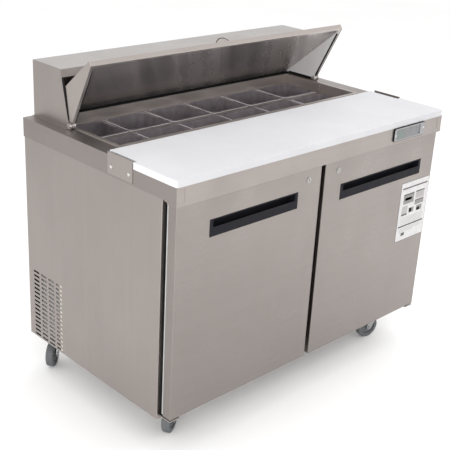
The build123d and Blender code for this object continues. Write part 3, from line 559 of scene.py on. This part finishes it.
# ---------------------------------------------------------------- dark bead of painted shade round the lid's lift tab
LID_JOINT = next(j for j in RECORD["behaviour"]["joints"] if j["name"] == "lid_hinge")
LID_PIVOT = Vector(LID_JOINT["pos_m"])
LID_TURN = math.radians(-LID_JOINT["range_deg"][0])
FACE_FOOT, FACE_BROW = (0.2318, -0.004), (0.2397, 0.0114)   # (forward, up) on the closed lid
TAB_X, TAB_HALF, TAB_RISE = -0.034, 0.027, 0.012
BEAD_R, BEAD_SHIFT = 0.0014, 0.0006       # bead radius, and its shift across the sheet


def lid_point(x, forward, up):
    """A point of the closed lid, where it lies on the open lid."""
    c, s = math.cos(LID_TURN), math.sin(LID_TURN)
    return Vector((x, LID_PIVOT.y - forward * c + up * s, LID_PIVOT.z + forward * s + up * c))


def tab_shade_bead():
    """Dark bead round the half-round tab: painted shade along the tab's edge."""
    around, steps = 10, 28
    brow = lid_point(TAB_X, *FACE_BROW)
    rise = (brow - lid_point(TAB_X, *FACE_FOOT)).normalized()
    across = Vector((1, 0, 0))
    side = rise.cross(across)
    radius = (TAB_HALF**2 + TAB_RISE**2) / (2 * TAB_RISE)
    centre = brow + rise * (TAB_RISE - radius) + side * BEAD_SHIFT
    reach = math.asin(TAB_HALF / radius)
    bm = bmesh.new()
    rings = []
    for k in range(steps + 1):
        t = reach * (2 * k / steps - 1)
        out = rise * math.cos(t) + across * math.sin(t)
        ring = []
        for i in range(around):
            a = math.tau * i / around
            reach_out = out * (radius + BEAD_R * math.cos(a))
            ring.append(bm.verts.new(centre + reach_out + side * BEAD_R * math.sin(a)))
        rings.append(ring)
    join_rings(bm, rings)
    bm.faces.new(rings[0])
    bm.faces.new(list(reversed(rings[-1])))
    bmesh.ops.recalc_face_normals(bm, faces=bm.faces)
    add_object("lid_tab_shade_bead", bm, SLOT_MATERIALS["black_rubber"], "lid", True)


tab_shade_bead()


# ---------------------------------------------------------------- camera
# Place, axes and lens found from the straight edges of the table in the photo.
CAMERA_LENS, SENSOR = 73.894, 36.0
CAMERA_PLACE = Vector((-2.12509, -2.07509, 1.75171))
CAMERA_RIGHT = Vector((0.72240945, -0.68960996, 0.05062297))
CAMERA_DOWN = Vector((-0.23475982, -0.31346997, -0.92012195))
CAMERA_FORWARD = Vector((0.65039405, 0.65282055, -0.38834638))

camera_data = bpy.data.cameras.new("camera")
camera_data.sensor_width = SENSOR
camera_data.lens = CAMERA_LENS
camera = bpy.data.objects.new("camera", camera_data)
turn = Matrix((CAMERA_RIGHT, -CAMERA_DOWN, -CAMERA_FORWARD)).transposed()
camera.matrix_world = Matrix.Translation(CAMERA_PLACE) @ turn.to_4x4()
bpy.context.scene.collection.objects.link(camera)
bpy.context.scene.camera = camera


# ---------------------------------------------------------------- stage and light
def area_light(name, place, target, size, power, colour=(1, 1, 1)):
    """A soft rectangular lamp; sizes in metres and power in watts."""
    data = bpy.data.lights.new(name, "AREA")
    data.shape = "RECTANGLE"
    data.size, data.size_y = size
    data.energy = power
    data.color = colour
    obj = bpy.data.objects.new(name, data)
    aim = Vector(target) - Vector(place)
    obj.rotation_euler = aim.to_track_quat("-Z", "Y").to_euler()
    obj.location = place
    bpy.context.scene.collection.objects.link(obj)


def floor():
    """A plain pale floor, wide enough for every view."""
    bm = bmesh.new()
    bmesh.ops.create_grid(bm, x_segments=4, y_segments=4, size=30)
    mesh = bpy.data.meshes.new("floor")
    bm.to_mesh(mesh)
    bm.free()
    mat, nt, bsdf, at = tree("floor")
    mottle = noise(nt, at, 1.5, detail=3.0)
    factor = remap(nt, mottle, 0.3, 0.7, 0.0, 1.0)
    colour_out = blend_colour(nt, factor, (0.93, 0.93, 0.93), (0.95, 0.95, 0.95))
    nt.links.new(colour_out, bsdf.inputs["Base Color"])
    bsdf.inputs["Roughness"].default_value = 0.9
    mesh.materials.append(mat)
    obj = bpy.data.objects.new("floor", mesh)
    bpy.context.scene.collection.objects.link(obj)


def studio_world():
    """Even white surroundings, a little warmer at the horizon."""
    world = bpy.data.worlds.new("studio")
    bpy.context.scene.world = world
    world.use_nodes = True
    nt = world.node_tree
    direction = nt.nodes.new("ShaderNodeTexCoord")
    split = nt.nodes.new("ShaderNodeSeparateXYZ")
    nt.links.new(direction.outputs["Generated"], split.inputs["Vector"])
    ramp = nt.nodes.new("ShaderNodeValToRGB")
    horizon, overhead = ramp.color_ramp.elements
    horizon.position, horizon.color = 0.0, (0.96, 0.95, 0.94, 1)
    overhead.position, overhead.color = 0.6, (1, 1, 1, 1)
    nt.links.new(split.outputs["Z"], ramp.inputs["Fac"])
    nt.links.new(ramp.outputs["Color"], nt.nodes["Background"].inputs["Color"])
    nt.nodes["Background"].inputs["Strength"].default_value = 1.04


floor()
studio_world()
area_light("key", (-3.5, -3.0, 4.2), (0, 0, 0.6), (3.0, 3.0), 45, (1.0, 0.985, 0.965))
area_light("fill", (3.6, -3.2, 2.6), (0, 0, 0.6), (2.6, 2.6), 15, (0.98, 0.99, 1.0))
area_light("top", (0.3, 0.6, 4.6), (0, 0, 0.9), (4.0, 4.0), 30)
area_light("floor_glow", (1.9, -1.9, 2.2), (2.2, -3.0, 0), (1.6, 1.6), 40)
area_light("lid_fill", (-3.2, -2.2, 1.3), (0.3, 0.15, 1.0), (2.0, 1.0), 60)

bpy.context.scene.view_settings.view_transform = "Standard"
